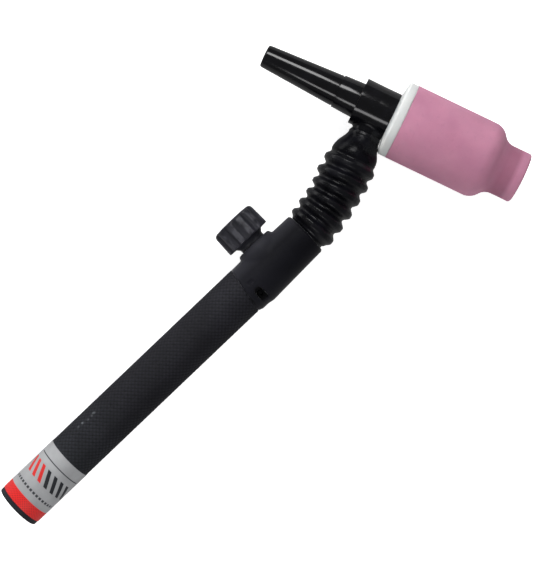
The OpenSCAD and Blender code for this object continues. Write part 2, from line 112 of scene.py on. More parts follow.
# ---- Mesh helpers ----
def rounded(points, steps=4):
    """Profile points (radius, z, corner radius) with each corner turned into an arc."""
    out = []
    count = len(points)
    for i, point in enumerate(points):
        here = Vector(point[:2])
        size = point[2] if len(point) > 2 else 0
        if not size:
            out.append(tuple(here))
            continue
        before = Vector(points[i - 1][:2])
        after = Vector(points[(i + 1) % count][:2])
        a = (before - here).normalized()
        b = (after - here).normalized()
        half = a.angle(b) / 2
        back = min(size / math.tan(half), 0.49 * (before - here).length, 0.49 * (after - here).length)
        start, end = here + a * back, here + b * back
        for k in range(steps + 1):
            t = k / steps
            p = start * (1 - t) ** 2 + here * 2 * t * (1 - t) + end * t ** 2
            out.append(tuple(p))
    return out


def lathe(points, steps=96, closed=True):
    """A solid turned about its own Z from (radius, z) points."""
    bm = bmesh.new()
    verts = [bm.verts.new((r, 0, z)) for r, z in points]
    pairs = list(zip(verts[:-1], verts[1:]))
    if closed:
        pairs.append((verts[-1], verts[0]))
    edges = [bm.edges.new(pair) for pair in pairs]
    bmesh.ops.spin(bm, geom=verts + edges, cent=(0, 0, 0), axis=(0, 0, 1),
                   angle=TAU, steps=steps, use_merge=True, use_duplicate=False)
    bmesh.ops.remove_doubles(bm, verts=bm.verts, dist=1e-4)
    bmesh.ops.dissolve_degenerate(bm, edges=bm.edges, dist=1e-5)
    return bm


def piece(name, bm, body, material, place=None, nodes=(), sharp=32):
    """Makes an object of a finished bmesh in millimetres and fixes it to its body."""
    if place is not None:
        bmesh.ops.transform(bm, matrix=place, verts=bm.verts)
    bmesh.ops.scale(bm, vec=(MM, MM, MM), verts=bm.verts)
    bmesh.ops.recalc_face_normals(bm, faces=bm.faces)
    mesh = bpy.data.meshes.new(name)
    bm.to_mesh(mesh)
    bm.free()
    mesh.shade_smooth()
    if sharp:
        mesh.set_sharp_from_angle(angle=math.radians(sharp))
    mesh.materials.append(material)
    obj = bpy.data.objects.new(name, mesh)
    bpy.context.scene.collection.objects.link(obj)
    if body:
        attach(obj, body)
    if nodes:
        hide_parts(*nodes)
    return obj


# ---- Material helpers ----
def tone(code):
    """Linear colour of an sRGB hex value."""
    parts = [int(code[i:i + 2], 16) / 255 for i in (1, 3, 5)]
    return tuple(c / 12.92 if c <= 0.04045 else ((c + 0.055) / 1.055) ** 2.4 for c in parts) + (1,)


def new_finish(name, **sockets):
    """A new material of one Principled shader with those constants, its tree and its shader."""
    made = bpy.data.materials.new(name)
    made.use_nodes = True
    shader = made.node_tree.nodes["Principled BSDF"]
    for key, value in sockets.items():
        shader.inputs[key.replace("_", " ")].default_value = value
    return made, made.node_tree, shader


def node(tree, kind, inputs=None, to=None, stops=None, out=0, **settings):
    """Adds one node: inputs are values or sockets, stops fill a ramp, to is the socket that it feeds."""
    made = tree.nodes.new(kind)
    for key, value in settings.items():
        setattr(made, key, value)
    for key, value in (inputs or {}).items():
        if isinstance(value, bpy.types.NodeSocket):
            tree.links.new(value, made.inputs[key])
        else:
            made.inputs[key].default_value = value
    for i, (at, colour) in enumerate(stops or []):
        elements = made.color_ramp.elements
        spot = elements[i] if i < 2 else elements.new(at)
        spot.position, spot.color = at, tone(colour)
    if to is not None:
        tree.links.new(made.outputs[out], to)
    return made.outputs[out]


def per_mm(size):
    """Noise scale whose blobs are about that many millimetres across, on coordinates in metres."""
    return 500 / size


NOISE, RAMP, MATHS, RANGE, BUMP, MIX = (
    "ShaderNodeTexNoise", "ShaderNodeValToRGB", "ShaderNodeMath", "ShaderNodeMapRange", "ShaderNodeBump",
    "ShaderNodeMix")
COORDS, SPLIT, VECTOR = "ShaderNodeTexCoord", "ShaderNodeSeparateXYZ", "ShaderNodeVectorMath"


# ---- Materials ----
def knurled_nylon():
    """Glass-filled nylon, moulded with a knurl: charcoal and dull, paler on the worn points."""
    made, tree, shader = new_finish("knurled_nylon", Specular_IOR_Level=0.22)
    at = node(tree, COORDS, out=3)
    parts = node(tree, SPLIT, {0: at}).node
    radius = node(tree, VECTOR, {0: at, 1: (0, 1, 1)}, operation="MULTIPLY")
    radius = node(tree, VECTOR, {0: radius}, operation="LENGTH", out=1)
    tops = node(tree, RANGE, {0: radius, 1: (KNURL_TOP - KNURL_DEPTH) * MM, 2: KNURL_TOP * MM})
    cloud = node(tree, NOISE, {"Vector": at, "Scale": per_mm(6), "Detail": 3})
    worn = node(tree, MATHS, {0: tops, 1: cloud}, operation="MULTIPLY")
    base = node(tree, RAMP, {0: worn}, stops=[(0.0, "#0e0e12"), (0.6, "#24242b")])
    # A broken line of pale scuffs on the knurl's points
    for spot, wear in (((0.0436, 0.00555, 0.00657), 0.6), ((0.0424, 0.0054, 0.0067), 0.3),
                       ((0.0404, 0.0053, 0.00677), 0.22), ((0.0382, 0.00566, 0.0065), 0.5),
                       ((0.0361, 0.00565, 0.00648), 0.22)):
        away = node(tree, VECTOR, {0: at, 1: spot}, operation="DISTANCE", out=1)
        near = node(tree, RANGE, {0: away, 1: 0.0008, 2: 0.0002, 3: 0.0, 4: wear})
        mark = node(tree, MATHS, {0: near, 1: tops}, operation="MULTIPLY")
        base = node(tree, MIX, {0: mark, 6: base, 7: tone("#80858a")}, data_type="RGBA", out=2)
    # Faint green grey cast where the film's adhesive has wiped onto the rear of the grip
    rear = node(tree, RANGE, {0: parts.outputs[0], 1: 0.055, 2: 0.026, 3: 0.0, 4: 0.25})
    node(tree, MIX, {0: rear, 6: base, 7: tone("#1d2422")}, shader.inputs["Base Color"],
         data_type="RGBA", blend_type="SCREEN", out=2)
    fine = node(tree, NOISE, {"Vector": at, "Scale": per_mm(0.5), "Detail": 2})
    node(tree, RANGE, {0: fine, 3: 0.5, 4: 0.68}, shader.inputs["Roughness"])
    node(tree, BUMP, {"Height": fine, "Distance": 0.012 * MM}, shader.inputs["Normal"])
    return made


def satin_nylon(name, dark, pale, rough, gloss=0.3, bloom=0.0, paler_rear_and_painted_highlight=(), pocket=None, ridges=None):
    """Nylon moulded in a spark-eroded tool: satin, with a fine even grain and soft clouds."""
    made, tree, shader = new_finish(name, Specular_IOR_Level=gloss, Sheen_Weight=bloom, Sheen_Roughness=0.3)
    at = node(tree, COORDS, out=3)
    cloud = node(tree, NOISE, {"Vector": at, "Scale": per_mm(5), "Detail": 4})
    base = node(tree, RAMP, {0: cloud}, stops=[(0.3, dark), (0.7, pale)])
    # Paler towards one end, and lighter towards one side as a painted highlight of the light grazing that
    # side
    parts = node(tree, SPLIT, {0: at}).node
    for axis, plain_mm, full_mm, colour in paler_rear_and_painted_highlight:
        paler_and_lit_mask = node(tree, RANGE, {0: parts.outputs[axis], 1: plain_mm * MM, 2: full_mm * MM, 3: 0.0, 4: 0.85})
        base = node(tree, MIX, {0: paler_and_lit_mask, 6: base, 7: tone(colour)}, data_type="RGBA", out=2)
    if pocket:
        # Painted shade in the screw's pocket, darkening its walls and floor
        near = node(tree, VECTOR, {0: at, 1: pocket[0]}, operation="DISTANCE", out=1)
        near = node(tree, RANGE, {0: near, 1: 4.4 * MM, 2: 4.0 * MM})
        deep = node(tree, VECTOR, {0: at, 1: (0, 1, 1)}, operation="MULTIPLY")
        deep = node(tree, VECTOR, {0: deep}, operation="LENGTH", out=1)
        deep = node(tree, RANGE, {0: deep, 1: pocket[1] * MM, 2: (pocket[1] - 0.2) * MM})
        painted_pocket_shade = node(tree, MATHS, {0: near, 1: deep}, operation="MULTIPLY")
        base = node(tree, MIX, {0: painted_pocket_shade, 6: base, 7: tone("#0a0a0d")}, data_type="RGBA", out=2)
    if ridges:
        # Fingers have scuffed the ridges between the flutes
        away = node(tree, VECTOR, {0: at, 1: (VALVE_X * MM, 0, 0)}, operation="SUBTRACT")
        away = node(tree, VECTOR, {0: away, 1: (1, 0, 1)}, operation="MULTIPLY")
        away = node(tree, VECTOR, {0: away}, operation="LENGTH", out=1)
        scuff = node(tree, RANGE, {0: away, 1: ridges[0] * MM, 2: ridges[1] * MM})
        rub = node(tree, NOISE, {"Vector": at, "Scale": per_mm(1.6), "Detail": 4})
        rub = node(tree, RANGE, {0: rub, 1: 0.42, 2: 0.62})
        scuff = node(tree, MATHS, {0: scuff, 1: rub}, operation="MULTIPLY")
        base = node(tree, MIX, {0: scuff, 6: base, 7: tone(ridges[2])}, data_type="RGBA", out=2)
    tree.links.new(base, shader.inputs["Base Color"])
    grain = node(tree, NOISE, {"Vector": at, "Scale": per_mm(0.35), "Detail": 2})
    node(tree, RANGE, {0: cloud, 3: rough - 0.08, 4: rough + 0.08}, shader.inputs["Roughness"])
    node(tree, BUMP, {"Height": grain, "Distance": 0.02 * MM}, shader.inputs["Normal"])
    return made


def printed_vinyl():
    """Screen-printed vinyl film: silver-grey ink, a red band in a coarse dot screen, plain slanted bars."""
    made, tree, shader = new_finish("printed_vinyl_film", Roughness=0.45, Specular_IOR_Level=0.22)
    at = node(tree, COORDS, out=3)
    parts = node(tree, SPLIT, {0: at}).node
    along = node(tree, MATHS, {0: parts.outputs[0], 1: MM}, operation="DIVIDE")
    around = node(tree, MATHS, {0: parts.outputs[2], 1: parts.outputs[1]}, operation="ARCTAN2")
    turn = node(tree, MATHS, {0: around, 1: HANDLE_R}, operation="MULTIPLY")

    def band(value, start, end):
        """1 where value lies from start to end, with edges a few hundredths of a millimetre soft."""
        up = node(tree, RANGE, {0: value, 1: start - 0.05, 2: start + 0.05})
        down = node(tree, RANGE, {0: value, 1: end - 0.05, 2: end + 0.05})
        return node(tree, MATHS, {0: up, 1: down}, operation="SUBTRACT")

    cloud = node(tree, NOISE, {"Vector": at, "Scale": per_mm(3), "Detail": 3})
    base = node(tree, RAMP, {0: cloud}, stops=[(0.3, "#999a9c"), (0.7, "#a8a9ab")])
    # Dots of the red band's screen, 0.9 mm apart
    rows = node(tree, MATHS, {0: along, 1: TAU / 0.9}, operation="MULTIPLY")
    rows = node(tree, MATHS, {0: rows}, operation="SINE")
    columns = node(tree, MATHS, {0: turn, 1: TAU / 0.9}, operation="MULTIPLY")
    columns = node(tree, MATHS, {0: columns}, operation="SINE")
    dots = node(tree, MATHS, {0: rows, 1: columns}, operation="MULTIPLY")
    dots = node(tree, RANGE, {0: dots, 1: 0.1, 2: 0.6})
    red = node(tree, MIX, {0: dots, 6: tone("#e22c2b"), 7: tone("#ad2726")}, data_type="RGBA", out=2)
    base = node(tree, MIX, {0: band(along, 0.0, 6.0), 6: base, 7: red}, data_type="RGBA", out=2)
    # Plain print: a row of short dashes, slanted bars in two colours and a thin ruled line
    dash = node(tree, MATHS, {0: turn, 1: TAU / 1.5}, operation="MULTIPLY")
    dash = node(tree, MATHS, {0: dash}, operation="SINE")
    dash = node(tree, RANGE, {0: dash, 1: -0.5, 2: -0.3})
    slant = node(tree, MATHS, {0: along, 1: 0.55, 2: turn}, operation="MULTIPLY_ADD")
    bars = node(tree, MATHS, {0: slant, 1: TAU / 3.1}, operation="MULTIPLY")
    bars = node(tree, MATHS, {0: bars}, operation="SINE")
    bars = node(tree, RANGE, {0: bars, 1: -0.05, 2: 0.05})
    for zone, cut, reach, ink in (
            (band(along, 8.6, 9.5), dash, band(turn, 3.0, 24.5), "#3f4044"),
            (band(along, 13.0, 18.6), bars, band(slant, 11.0, 20.3), "#cf2c2a"),
            (band(along, 13.0, 18.6), bars, band(slant, 20.3, 32.7), "#28292d"),
            (band(along, 21.0, 21.4), 1.0, band(turn, 3.0, 24.5), "#3f4044")):
        mask = node(tree, MATHS, {0: zone, 1: cut}, operation="MULTIPLY")
        mask = node(tree, MATHS, {0: mask, 1: reach}, operation="MULTIPLY")
        base = node(tree, MIX, {0: mask, 6: base, 7: tone(ink)}, data_type="RGBA", out=2)
    tree.links.new(base, shader.inputs["Base Color"])
    node(tree, BUMP, {"Height": cloud, "Distance": 0.03 * MM}, shader.inputs["Normal"])
    return made


def silicone_rubber(name, gloss):
    """Compression-moulded silicone: deep black and satin, with a faint dusty bloom."""
    made, tree, shader = new_finish(name, Specular_IOR_Level=gloss)
    at = node(tree, COORDS, out=3)
    bloom = node(tree, NOISE, {"Vector": at, "Scale": per_mm(2.5), "Detail": 4})
    node(tree, RAMP, {0: bloom}, shader.inputs["Base Color"], [(0.35, "#07070a"), (0.75, "#0f0f15")])
    node(tree, RANGE, {0: bloom, 3: 0.16, 4: 0.42}, shader.inputs["Roughness"])
    grain = node(tree, NOISE, {"Vector": at, "Scale": per_mm(0.9), "Detail": 4})
    node(tree, BUMP, {"Height": grain, "Distance": 0.14 * MM}, shader.inputs["Normal"])
    return made


def phenolic(name, gloss, rough):
    """Compression-moulded phenolic: glossy black, with faint lengthwise ripples from the polished tool."""
    made, tree, shader = new_finish(name, Specular_IOR_Level=gloss)
    at = node(tree, COORDS, out=3)
    ripple = node(tree, NOISE, {"Vector": at, "Scale": per_mm(3), "Detail": 2})
    node(tree, RAMP, {0: ripple}, shader.inputs["Base Color"], [(0.3, "#060608"), (0.7, "#0c0c10")])
    cloud = node(tree, NOISE, {"Vector": at, "Scale": per_mm(1.5), "Detail": 3})
    node(tree, RANGE, {0: cloud, 3: rough - 0.04, 4: rough + 0.04}, shader.inputs["Roughness"])
    node(tree, BUMP, {"Height": ripple, "Distance": 0.012 * MM}, shader.inputs["Normal"])
    return made


def ptfe():
    """Turned PTFE: waxy white that light enters a little way, with faint lathe lines."""
    made, tree, shader = new_finish(
        "turned_ptfe", Roughness=0.5, Subsurface_Weight=1.0, Subsurface_Scale=0.0025,
        Subsurface_Radius=(1.0, 0.97, 0.94), IOR=1.38)
    at = node(tree, COORDS, out=3)
    cloud = node(tree, NOISE, {"Vector": at, "Scale": per_mm(3), "Detail": 2})
    node(tree, RAMP, {0: cloud}, shader.inputs["Base Color"], [(0.25, "#d2d5d4"), (0.75, "#dbdddc")])
    lines = node(tree, NOISE, {"Vector": at, "Scale": per_mm(0.4), "Detail": 2})
    node(tree, BUMP, {"Height": lines, "Distance": 0.01 * MM}, shader.inputs["Normal"])
    return made


def alumina():
    """Pressed and fired pink alumina: dead matte, clouded, with a fine bisque grain."""
    made, tree, shader = new_finish(
        "fired_alumina", Specular_IOR_Level=0.4, Subsurface_Weight=0.3, Subsurface_Scale=0.0015,
        Subsurface_Radius=(1.0, 0.45, 0.6))
    at = node(tree, COORDS, out=3)
    cloud = node(tree, NOISE, {"Vector": at, "Scale": per_mm(7), "Detail": 4})
    base = node(tree, RAMP, {0: cloud}, stops=[(0.32, "#b57993"), (0.68, "#c588a1")])
    pores = node(tree, NOISE, {"Vector": at, "Scale": per_mm(0.8), "Detail": 3})
    dots = node(tree, RANGE, {0: pores, 1: 0.42, 2: 0.28, 3: 0.0, 4: 0.15})
    base = node(tree, MIX, {0: dots, 6: base, 7: tone("#96637a")}, data_type="RGBA", out=2)
    # Painted shade: the hollow waist behind the mouth, in the shoulder's shade, is darkened
    out = node(tree, VECTOR, {0: at, 1: CUP_WAY}, operation="DOT_PRODUCT", out=1)
    out = node(tree, MATHS, {0: out, 1: HEAD_AT.dot(CUP_WAY) * MM}, operation="SUBTRACT")
    start = node(tree, RANGE, {0: out, 1: 0.045, 2: 0.049, 3: 0.0, 4: 0.6})
    stop = node(tree, RANGE, {0: out, 1: 0.0525, 2: 0.0542, 3: 0.0, 4: 0.6})
    painted_waist_shade = node(tree, MATHS, {0: start, 1: stop}, operation="SUBTRACT")
    node(tree, MIX, {0: painted_waist_shade, 6: base, 7: tone("#8a5068")}, shader.inputs["Base Color"],
         data_type="RGBA", out=2)
    node(tree, RANGE, {0: pores, 3: 0.62, 4: 0.8}, shader.inputs["Roughness"])
    node(tree, BUMP, {"Height": pores, "Distance": 0.02 * MM}, shader.inputs["Normal"])
    return made


def machined(name, dark, pale, rough, marks_mm=0.3):
    """Machined metal: its colour and shine broken a little by the tool's marks."""
    made, tree, shader = new_finish(name, Metallic=1.0)
    at = node(tree, COORDS, out=3)
    marks = node(tree, NOISE, {"Vector": at, "Scale": per_mm(marks_mm), "Detail": 3})
    node(tree, RAMP, {0: marks}, shader.inputs["Base Color"], [(0.3, dark), (0.7, pale)])
    node(tree, RANGE, {0: marks, 3: rough - 0.06, 4: rough + 0.08}, shader.inputs["Roughness"])
    node(tree, BUMP, {"Height": marks, "Distance": 0.004 * MM}, shader.inputs["Normal"])
    return made


def white_paper():
    """Matte paper: white to the eye and in reflections, greyer to the lamps, so it shows soft shadows."""
    made, tree, shader = new_finish(
        "white_paper", Roughness=0.9, Specular_IOR_Level=0.0, Emission_Color=(1, 1, 1, 1))
    path = node(tree, "ShaderNodeLightPath").node.outputs
    node(tree, MIX, {0: path["Is Glossy Ray"], 6: tone("#e6e6e6"), 7: tone("#8c8c8c")},
         shader.inputs["Base Color"], data_type="RGBA", out=2)
    glossy = node(tree, MATHS, {0: path["Is Glossy Ray"], 1: 0.2}, operation="MULTIPLY")
    seen = node(tree, MATHS, {0: path["Is Camera Ray"], 1: glossy}, operation="MAXIMUM")
    seen = node(tree, MATHS, {0: seen, 1: path["Is Transmission Ray"]}, operation="MAXIMUM")
    node(tree, MATHS, {0: seen, 1: 0.76}, shader.inputs["Emission Strength"], operation="MULTIPLY")
    return made


NYLON = knurled_nylon()
HOUSING = satin_nylon("satin_nylon", "#0b0b10", "#101016", 0.55, 0.1, 0.3,
                      # Paler towards the handle end; lighter on the knob's side, a painted highlight of the
                      # grazing light
                      paler_rear_and_painted_highlight=[(0, 134, 116, "#19191f"), (1, 3.4, 8.4, "#313137")],
                      # The pocket's walls and floor get painted shade
                      pocket=((0.1152, -0.0051, 0.0075), 9.0))
KNOB = satin_nylon("knob_nylon", "#1c1c22", "#2c2c33", 0.42, 0.3, ridges=(8.45, 8.8, "#46464c"))
SEAL = satin_nylon("nitrile_rubber", "#0a0a0b", "#111112", 0.5)
FILM = printed_vinyl()
RUBBER = silicone_rubber("silicone_rubber", 0.26)
DOME_RUBBER = silicone_rubber("silicone_rubber_dull", 0.11)
PHENOLIC = phenolic("moulded_phenolic", 0.45, 0.13)
STEM_PHENOLIC = phenolic("moulded_phenolic_dull", 0.18, 0.24)
PTFE = ptfe()
ALUMINA = alumina()
BRASS = machined("turned_brass", "#b08d3e", "#c9a655", 0.3)
STEEL = machined("bright_steel", "#8e9094", "#a6a8ac", 0.32)
BLACK_STEEL = machined("black_oxide_steel", "#161618", "#232326", 0.4)
COPPER = machined("bare_copper", "#a9623c", "#c47a50", 0.36)
TUNGSTEN = machined("ground_tungsten", "#808388", "#9b9ea3", 0.34)
WIRE = machined("stainless_wire", "#8f908c", "#b3b3ad", 0.35)


# ---- Handle ----
def seam_cut(bm, gap):
    """Takes off what lies past the slanted seam with the housing, gap mm short of it."""
    slant = math.radians(SEAM_SLANT)
    geom = bm.verts[:] + bm.edges[:] + bm.faces[:]
    bmesh.ops.bisect_plane(bm, geom=geom, plane_co=(HANDLE_LEN - gap, 0, 0),
                           plane_no=(math.cos(slant), -math.sin(slant), 0), clear_outer=True)


def knurl_sleeve():
    """Outer skin of the handle with its crossed grooves, closed on the inside.

    The knurl's lines lie 1.7 mm apart along the handle, 30 each way round it, and a groove's
    half width is 0.24 of the distance between two lines.
    """
    start, end = LABEL_START + LABEL_LEN - 0.4, HANDLE_LEN + 2.2
    pitch, around, fine = 1.7, 30, 5
    rows = round((end - start) / pitch * fine)
    cols = around * fine
    groove = 0.24
    bm = bmesh.new()
    bmesh.ops.create_grid(bm, x_segments=rows, y_segments=cols, size=0.5)
    for v in bm.verts:
        x = start + (v.co.x + 0.5) * (end - start)
        a = (v.co.y + 0.5) * around
        b = (x - start) / pitch
        deep = 0
        for line in (a + b, a - b):
            off = abs(line - round(line))
            deep = max(deep, 1 - off / groove)
        edge = min(1, max(0, (x - start - 0.6) / 0.6))
        r = KNURL_TOP - KNURL_DEPTH * deep * edge
        turn = a / around * TAU
        v.co = Vector((x, r * math.cos(turn), r * math.sin(turn)))
    bmesh.ops.remove_doubles(bm, verts=bm.verts, dist=1e-4)
    seam_cut(bm, 0.03)
    rims = [e for e in bm.edges if len(e.link_faces) == 1]
    wall = bmesh.ops.extrude_edge_only(bm, edges=rims)
    inner = 8.0
    for v in wall["geom"]:
        if isinstance(v, bmesh.types.BMVert):
            r = math.hypot(v.co.y, v.co.z)
            v.co.y *= inner / r
            v.co.z *= inner / r
    open_edges = [e for e in bm.edges if len(e.link_faces) == 1]
    bmesh.ops.bridge_loops(bm, edges=open_edges)
    return bm


def handle_core():
    """Plain tube under the label and the knurl, with its bores and the spigot in the housing."""
    front = HANDLE_LEN - 0.12
    bm = lathe(rounded([
        (ENTRY_R, 0, 0.35), (HANDLE_R - 0.02, 0, 0.35), (HANDLE_R - 0.02, LABEL_START + LABEL_LEN - 0.2),
        (8.05, LABEL_START + LABEL_LEN), (8.05, front - 2), (7.8, front - 2), (7.8, HANDLE_LEN + 7.4, 0.3),
        (HANDLE_BORE, HANDLE_LEN + 7.4), (HANDLE_BORE, ENTRY_LEN, 0.2), (ENTRY_R, ENTRY_LEN),
    ]), 120)
    return bm


piece("handle_core", handle_core(), "handle", NYLON, ALONG_HANDLE, ["handle"])
piece("handle_knurl", knurl_sleeve(), "handle", NYLON, None, ["handle"], sharp=0)

film = rounded([
    (8.63, LABEL_START), (8.72, LABEL_START, 0.04), (8.72, LABEL_START + LABEL_LEN, 0.04),
    (8.63, LABEL_START + LABEL_LEN),
], 2)
piece("label_film", lathe(film, 160), "handle", FILM, ALONG_HANDLE, ["handle_label"])


# ---- Valve knob ----
def fluted_knob():
    """Knob with twelve finger flutes, a round top edge and a waisted foot."""
    outline = rounded([
        (2.05, 10.03), (5.0, 10.03, 0.2), (5.0, 11.2, 0.9), (6.1, KNOB_BASE - 0.05, 0.2),
        (KNOB_R, KNOB_BASE, 0.35), (KNOB_R - 0.2, KNOB_TOP, 2.0), (3.0, KNOB_TOP, 0.3),
        (3.0, KNOB_TOP - 1.9), (2.05, KNOB_TOP - 1.9),
    ], 6)
    bm = lathe(outline, 240)
    flute_r, deep, count = 1.6, 0.75, 12
    for v in bm.verts:
        r = math.hypot(v.co.x, v.co.y)
        if r < 5.8 or v.co.z < KNOB_BASE - 0.2:
            continue
        turn = math.atan2(v.co.y, v.co.x)
        off = (turn / TAU * count + 0.5) % 1 - 0.5
        side = KNOB_R * math.sin(off * TAU / count)
        cut = max(0, math.sqrt(max(0, flute_r ** 2 - side ** 2)) - (flute_r - deep))
        limit = KNOB_R - cut
        if r > limit:
            v.co.x *= limit / r
            v.co.y *= limit / r
    return bm


piece("valve_knob_fluted", fluted_knob(), "knob", KNOB, ON_VALVE, ["valve_knob"], sharp=50)


# ---- Valve housing: the CAD shape with its edges and inner corners softened ----
def smoothed(bm, verts, passes):
    for _ in range(passes):
        bmesh.ops.smooth_vert(bm, verts=verts, factor=0.5, use_axis_x=True, use_axis_y=True,
                              use_axis_z=True)


def softened(node, name, voxel_mm, passes):
    """A copy of a CAD node, remeshed evenly and smoothed so that its corners get a small radius."""
    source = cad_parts[node]
    mesh = source.data.copy()
    mesh.transform(source.matrix_world)
    obj = bpy.data.objects.new(name, mesh)
    bpy.context.scene.collection.objects.link(obj)
    bm = bmesh.new()
    bm.from_mesh(mesh)
    bmesh.ops.remove_doubles(bm, verts=bm.verts, dist=1e-7)
    bm.to_mesh(mesh)
    bm.free()
    remesh = obj.modifiers.new("even", "REMESH")
    remesh.mode = "VOXEL"
    remesh.voxel_size = voxel_mm * MM
    graph = bpy.context.evaluated_depsgraph_get()
    shape = bpy.data.meshes.new_from_object(obj.evaluated_get(graph))
    bpy.data.objects.remove(obj)
    bm = bmesh.new()
    bm.from_mesh(shape)
    smoothed(bm, bm.verts, passes)
    bmesh.ops.scale(bm, vec=(1 / MM, 1 / MM, 1 / MM), verts=bm.verts)
    return bm


def housing():
    """The housing, its boss blended into the tube by a broad fillet on both faces."""
    bm = softened("valve_housing", "housing_soft", 0.25, 2)
    # The foot: a ring round the valve's axis, on the tube's outer skin, clear of its ridge line
    foot = [v for v in bm.verts if 6.6 < math.hypot(v.co.x - VALVE_X, v.co.z) < 10.5 and abs(v.co.z) > 2.6
            and 1.5 < v.co.y < 9.2 and math.hypot(v.co.y, v.co.z) > 8.0]
    smoothed(bm, foot, 45)
    return bm


piece("valve_housing_moulded", housing(), "handle", HOUSING, None, ["valve_housing"],
      sharp=0)


# ---- Neck ----
# Radii on the knob's side and on the far side: the ribs stand further out on the inside of the bend
CRESTS = [(9.36, 9.07), (9.7, 8.96), (9.63, 9.0), (9.75, 9.05), (10.1, 9.5), (9.71, 9.47)]
VALLEYS = [(7.7, 7.7), (8.05, 7.57), (8.2, 7.15), (7.97, 7.45), (8.42, 7.85), (8.3, 8.15), (8.3, 8.3)]
COVER_END = NECK_LEN - 9.6
# The cover's domed end: distance from the last rib's valley, then the two radii
DOME = [(0.0, 8.3, 8.3), (1.0, 8.58, 8.45), (2.0, 8.5, 8.36), (3.0, 8.26, 8.19), (4.0, 7.94, 7.8),
        (5.0, 7.45, 7.3), (6.0, 6.85, 6.9), (7.0, 6.25, 6.6), (8.0, 5.82, 6.3), (8.7, 5.66, 6.14),
        (9.05, 5.7, 6.14), (9.25, 5.74, 6.16), (9.45, 5.7, 6.12), (9.8, 5.5, 6.08), (10.15, 5.42, 6.04),
        (10.26, 5.3, 5.95)]


def rib_radius(s, side=0.0):
    """Outer radius of the rubber cover, s mm along the neck; side runs from 1 at the knob to -1."""
    first = FIRST_RIB - RIB_PITCH / 2
    last = FIRST_RIB + (len(CRESTS) - 0.5) * RIB_PITCH

    def at(pair):
        return pair[0] * (1 + side) / 2 + pair[1] * (1 - side) / 2

    if s < first:
        collar_r, collar_end = 7.1, 4.0
        if s < collar_end:
            return collar_r
        return collar_r + (at(VALLEYS[0]) - collar_r) * (s - collar_end) / (first - collar_end)
    if s >= last:
        for (s0, *r0), (s1, *r1) in zip(DOME[:-1], DOME[1:]):
            if s - last <= s1:
                return at(r0) + (at(r1) - at(r0)) * (s - last - s0) / (s1 - s0)
        return at(DOME[-1][1:])
    i = min(int((s - first) / RIB_PITCH), len(CRESTS) - 1)
    off = (s - FIRST_RIB - i * RIB_PITCH) / (RIB_PITCH / 2)
    low = at(VALLEYS[i] if off < 0 else VALLEYS[i + 1])
    # A flat crest with rounded edges, straight flanks and a narrow round valley
    fall = min(1, max(0, (abs(off) - 0.24) / 0.68))
    fall = 0.45 * fall + 0.55 * fall * fall * (3 - 2 * fall)
    return low + (at(CRESTS[i]) - low) * (1 - fall)


def bent_tube(s0, s1, outer, inner, step=0.2, steps=96):
    """A tube along the neck from s0 to s1 whose radii are functions of the distance."""
    count = max(2, round((s1 - s0) / step))
    places = [s0 + (s1 - s0) * i / count for i in range(count + 1)]
    loop = [(outer(s), s) for s in places]
    loop += [(inner(s), s) for s in (s1, (s0 + s1) / 2, s0)]
    bm = lathe(loop, steps)
    bmesh.ops.transform(bm, matrix=axes((0, 0, 1), (0, -1, 0), (1, 0, 0), (0, 0, 0)), verts=bm.verts)
    long_edges = [e for e in bm.edges if abs(e.verts[0].co.x - e.verts[1].co.x) > 2]
    if long_edges:
        bmesh.ops.subdivide_edges(bm, edges=long_edges, cuts=5, use_grid_fill=True)
    for v in bm.verts:
        at, turn = neck_frame(v.co.x)
        r = math.hypot(v.co.y, v.co.z)
        grow = outer(v.co.x, v.co.y / r) / r if abs(r - outer(v.co.x)) < 0.01 else 1
        side = Vector((-math.sin(turn), math.cos(turn), 0))
        v.co = at + side * v.co.y * grow + Vector((0, 0, v.co.z * grow))
    return bm


# Three stretches, one for each of the neck's bends; they meet in the valleys between ribs
BENDS = [
    ("handle", "neck_lower", FIRST_RIB + 1.5 * RIB_PITCH - 10.3, FIRST_RIB + 1.5 * RIB_PITCH),
    ("neck_lower", "neck_upper", FIRST_RIB + 1.5 * RIB_PITCH, FIRST_RIB + 3.5 * RIB_PITCH),
    ("neck_upper", "head", FIRST_RIB + 3.5 * RIB_PITCH, FIRST_RIB + 5.5 * RIB_PITCH),
]


def neck_layer(name, node, material, s0, s1, outer, inner, steps=96):
    """One layer of the neck as three stretches that meet end to end."""
    cuts = [s0, BENDS[0][3], BENDS[1][3], s1]
    for i, (body_a, body_b, start, end) in enumerate(BENDS):
        part = piece(f"{name}_{i + 1}", bent_tube(cuts[i], cuts[i + 1], outer, inner, steps=steps),
                     None, material, None, [node], sharp=60)
        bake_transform(part)


neck_layer("neck_sleeve", "neck_cover", RUBBER, -2.0, COVER_END, rib_radius,
           lambda s: 4.6 if s < NECK_LEN - 21 else 5.2)

# The dome past the last rib came off a blasted face of the tool, so it is duller, up to its lip
LIP_BEHIND, LAST_RIB_BEHIND = 11.2, 19.6
dome = bpy.data.objects["neck_sleeve_3"].data
dome.materials.append(DOME_RUBBER)
for face in dome.polygons:
    behind = (HEAD_AT * MM - face.center).dot(STEM_WAY) / MM
    if LIP_BEHIND < behind < LAST_RIB_BEHIND:
        face.material_index = 1

neck_layer("neck_braid_copper", "neck_braid", COPPER, -2.0, NECK_LEN - 16,
           lambda s, side=0: 3.4, lambda s: 2.2, 48)
neck_layer("neck_tube_ptfe", "neck_gas_tube", PTFE, -3.0, NECK_LEN - 15.3,
           lambda s, side=0: 2.1, lambda s: 1.5, 32)


# ---- Head ----
barrel = rounded([
    (6.35, -7.3), (8.62, -7.3, 0.03), (8.6, -5.5, 3), (8.52, 0, 8), (8.58, 5.9, 0.2), (6.35, 5.9),
], 8)
piece("head_barrel", lathe(barrel, 128), "head", PHENOLIC, IN_HEAD, ["head_jacket"])


